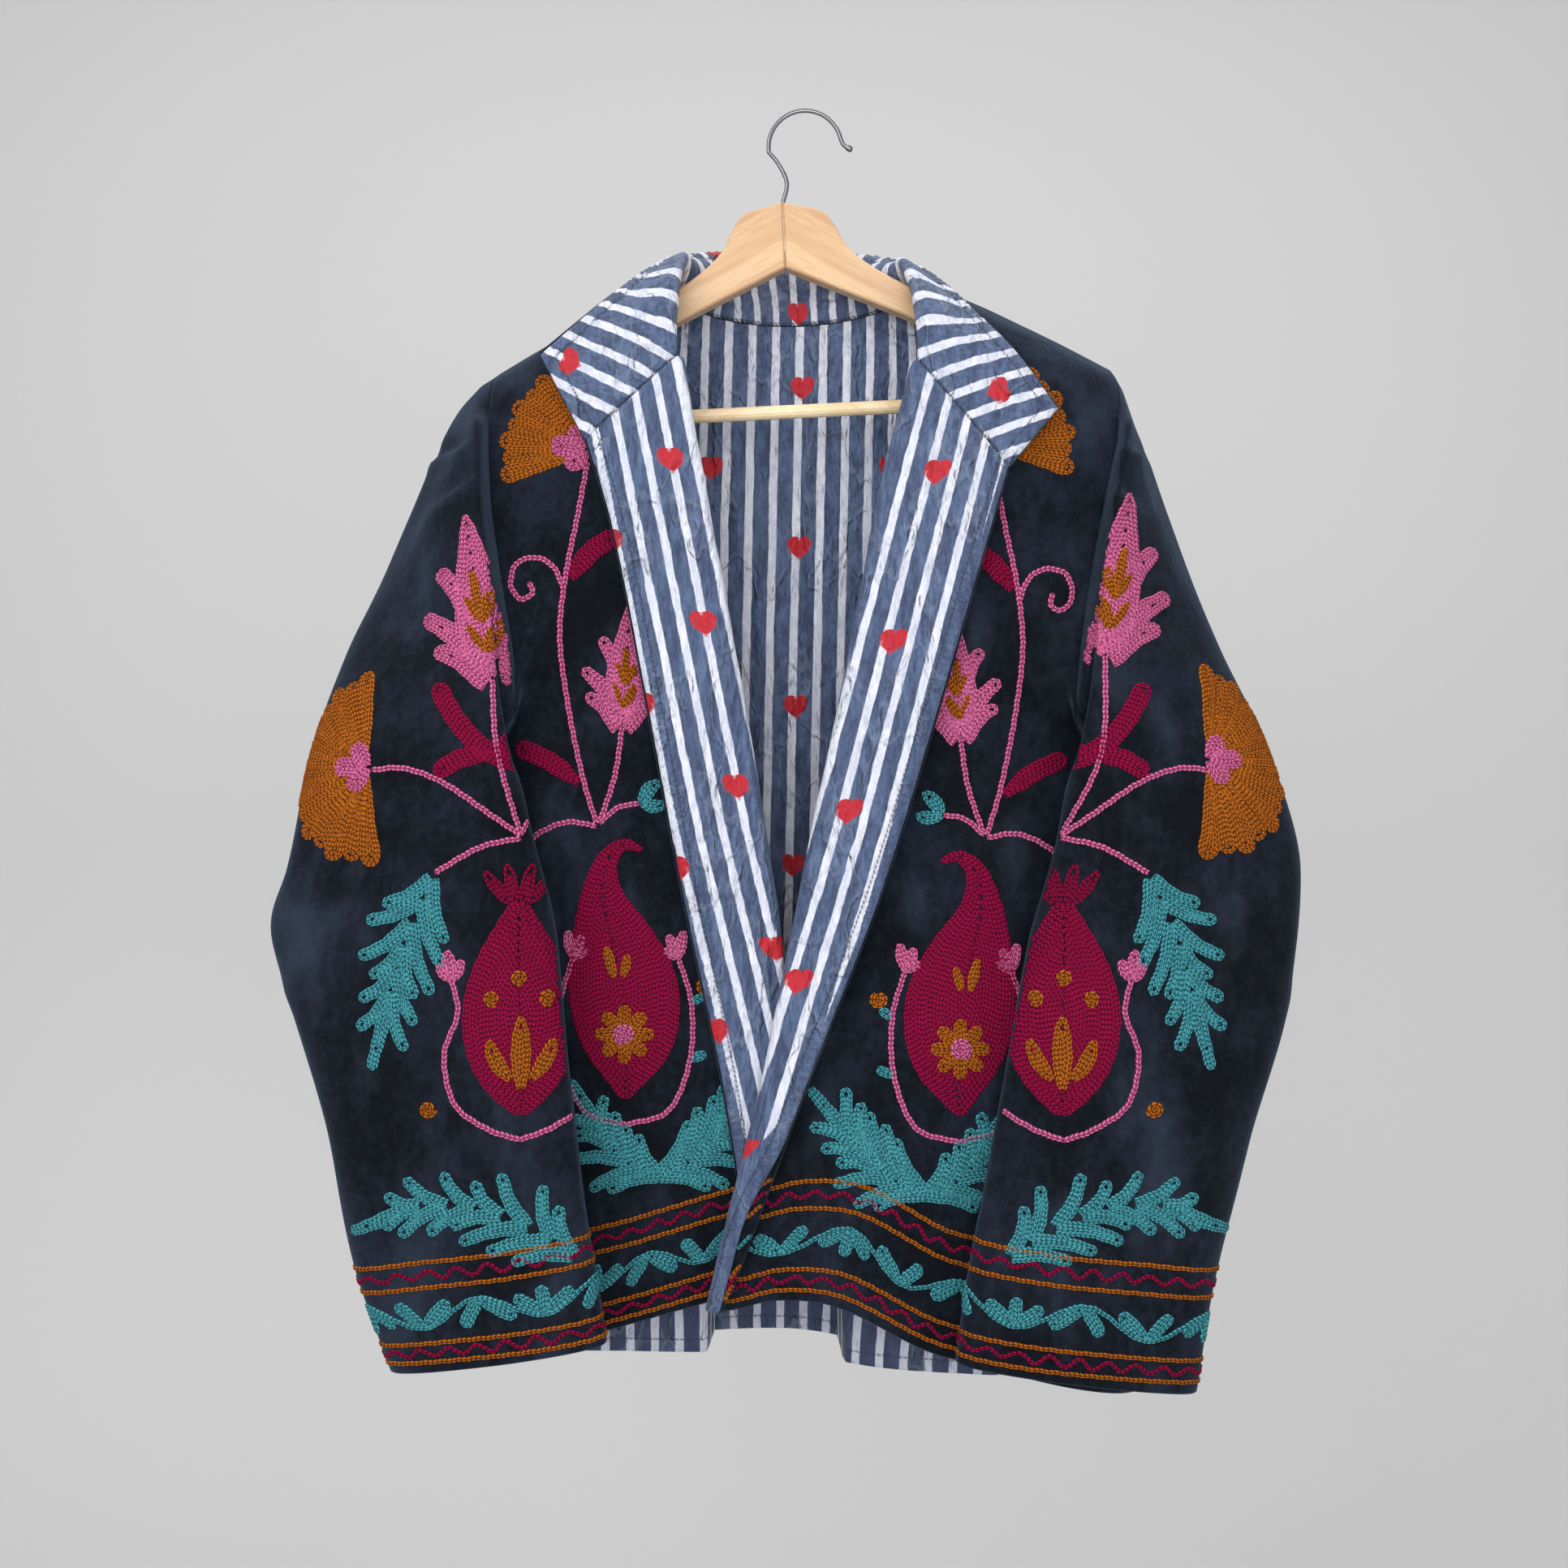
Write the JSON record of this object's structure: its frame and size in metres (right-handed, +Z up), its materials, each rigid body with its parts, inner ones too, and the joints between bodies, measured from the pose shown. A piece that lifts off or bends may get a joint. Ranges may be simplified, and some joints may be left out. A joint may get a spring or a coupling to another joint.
{
  "type": "embroidered velvet jacket hanging on a wooden hanger",
  "caption": "Open-fronted velvet jacket with a striped cotton lining, its collar and lapels turned back, hanging on a wooden hanger with a trouser bar and a wire hook",
  "frame": {"origin": "the point inside the top of the hook that bears on a rail", "axes": "+Z up, -Y the jacket's front, +X to the right of someone who looks at the front"},
  "size_m": [0.7092, 0.1624, 0.9232],
  "materials": {
    "velvet": "dark navy pile velvet",
    "cotton": "matt blue and white striped cotton",
    "wood": "pale satin varnish",
    "wire": "dark polished plating"
  },
  "bodies": {
    "root": {"front_left": "velvet", "front_left_lining": "cotton", "front_right": "velvet", "front_right_lining": "cotton", "back_left": "velvet", "back_middle": "velvet", "back_right": "velvet", "back_lining": "cotton", "sleeve_left": "velvet", "sleeve_right": "velvet", "collar": "velvet", "collar_lining": "cotton", "hanger_arm_left": "wood", "hanger_arm_right": "wood", "hanger_bar": "wood", "hanger_hook": "wire"}
  },
  "joints": []
}
